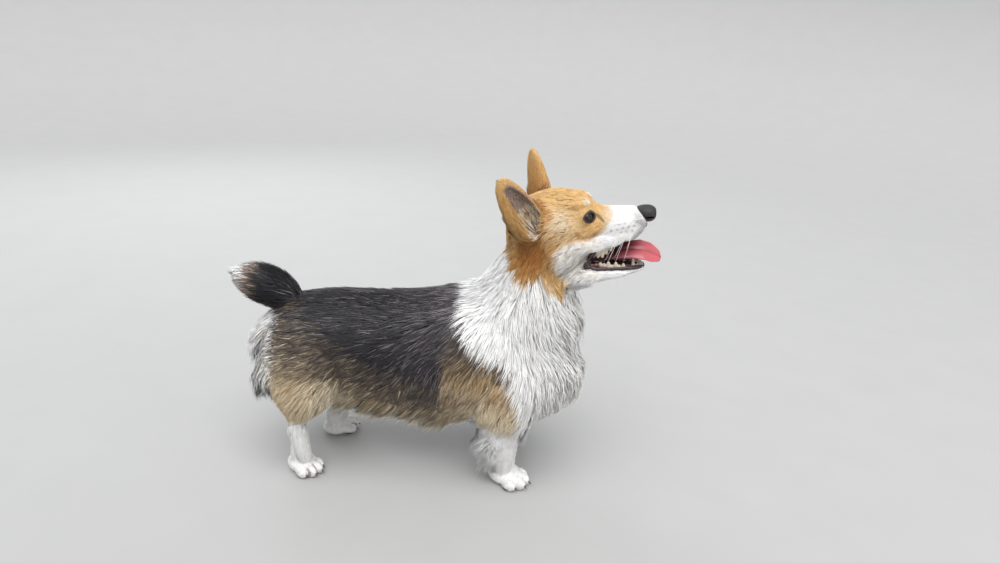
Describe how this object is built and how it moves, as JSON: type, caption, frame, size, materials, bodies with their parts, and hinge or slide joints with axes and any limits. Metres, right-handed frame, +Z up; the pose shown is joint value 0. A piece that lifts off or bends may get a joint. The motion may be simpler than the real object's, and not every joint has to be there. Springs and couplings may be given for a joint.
{
  "type": "pembroke welsh corgi",
  "caption": "Life-size still model of a short-legged herding dog, standing with its head raised, ears up, mouth open, tongue out and short tail carried over the rump.",
  "frame": {"origin": "on the floor under the middle of the dog's bounding box", "axes": "+X forward along the body towards the nose, +Y to the dog's left, +Z up"},
  "size_m": [0.6467, 0.2186, 0.5146],
  "materials": {
    "coat_black": "fur",
    "coat_sable": "fur",
    "coat_tan": "fur",
    "coat_white": "fur",
    "nose": "moist",
    "eye": "polished",
    "tongue": "moist"
  },
  "bodies": {
    "root": {"torso": "coat_black", "chest": "coat_white", "neck": "coat_white", "tail": "coat_black", "thigh_right": "coat_sable", "hock_right": "coat_white", "hindpaw_right": "coat_white", "upper_arm_right": "coat_tan", "forearm_right": "coat_white", "forepaw_right": "coat_white", "thigh_left": "coat_sable", "hock_left": "coat_white", "hindpaw_left": "coat_white", "upper_arm_left": "coat_tan", "forearm_left": "coat_white", "forepaw_left": "coat_white", "head": "coat_tan", "jaw": "coat_white", "tongue": "tongue", "nose": "nose", "eye_right": "eye", "eye_left": "eye", "ear_right": "coat_tan", "ear_left": "coat_tan"}
  },
  "joints": []
}
